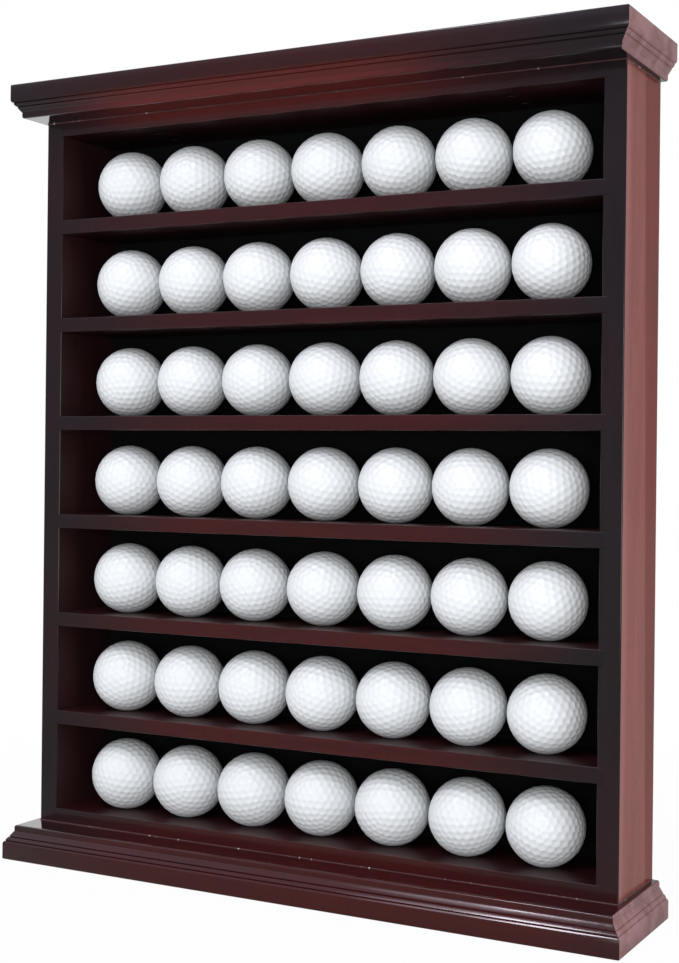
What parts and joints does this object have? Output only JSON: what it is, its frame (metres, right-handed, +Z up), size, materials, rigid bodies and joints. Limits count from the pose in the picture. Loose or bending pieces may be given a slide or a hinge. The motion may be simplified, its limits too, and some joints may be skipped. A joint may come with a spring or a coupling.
{
  "type": "golf ball display case",
  "caption": "Open-fronted wooden display case with shelves of golf balls between a moulded crown and a moulded base, with a felt-covered back and keyhole hangers.",
  "frame": {"origin": "middle of the underside of the base board", "axes": "+Z up, -Y out of the open front, +X to the right as seen from the front"},
  "size_m": [0.387, 0.0826, 0.4685],
  "materials": {
    "lacquered_wood": "high-gloss dark cherry lacquer",
    "black_felt": "short napped felt",
    "hardboard": "bare brown hardboard",
    "plated_steel": "zinc plated",
    "ball_cover": "clear-coated white, dimpled"
  },
  "bodies": {
    "case": {"back_felt": "black_felt", "back_panel": "hardboard", "back_pins": "plated_steel", "base_board": "lacquered_wood", "base_screws": "plated_steel", "bottom_panel": "lacquered_wood", "crown_board": "lacquered_wood", "crown_screws": "plated_steel", "hanger_screws": "plated_steel", "left_brads": "plated_steel", "left_hanger": "plated_steel", "left_side": "lacquered_wood", "right_brads": "plated_steel", "right_hanger": "plated_steel", "right_side": "lacquered_wood", "shelf_1": "lacquered_wood", "shelf_2": "lacquered_wood", "shelf_3": "lacquered_wood", "shelf_4": "lacquered_wood", "shelf_5": "lacquered_wood", "shelf_6": "lacquered_wood", "top_panel": "lacquered_wood"},
    "ball_row_1": {"golf_balls_row_1": "ball_cover"},
    "ball_row_2": {"golf_balls_row_2": "ball_cover"},
    "ball_row_3": {"golf_balls_row_3": "ball_cover"},
    "ball_row_4": {"golf_balls_row_4": "ball_cover"},
    "ball_row_5": {"golf_balls_row_5": "ball_cover"},
    "ball_row_6": {"golf_balls_row_6": "ball_cover"},
    "ball_row_7": {"golf_balls_row_7": "ball_cover"}
  },
  "joints": [
    {"name": "lift_out_row_1", "type": "slide", "parent": "case", "child": "ball_row_1", "axis": [0, -0.9848, 0.1736], "range_m": [0, 0.075]},
    {"name": "lift_out_row_2", "type": "slide", "parent": "case", "child": "ball_row_2", "axis": [0, -0.9848, 0.1736], "range_m": [0, 0.075]},
    {"name": "lift_out_row_3", "type": "slide", "parent": "case", "child": "ball_row_3", "axis": [0, -0.9848, 0.1736], "range_m": [0, 0.075]},
    {"name": "lift_out_row_4", "type": "slide", "parent": "case", "child": "ball_row_4", "axis": [0, -0.9848, 0.1736], "range_m": [0, 0.075]},
    {"name": "lift_out_row_5", "type": "slide", "parent": "case", "child": "ball_row_5", "axis": [0, -0.9848, 0.1736], "range_m": [0, 0.075]},
    {"name": "lift_out_row_6", "type": "slide", "parent": "case", "child": "ball_row_6", "axis": [0, -0.9848, 0.1736], "range_m": [0, 0.075]},
    {"name": "lift_out_row_7", "type": "slide", "parent": "case", "child": "ball_row_7", "axis": [0, -0.9848, 0.1736], "range_m": [0, 0.075]}
  ]
}
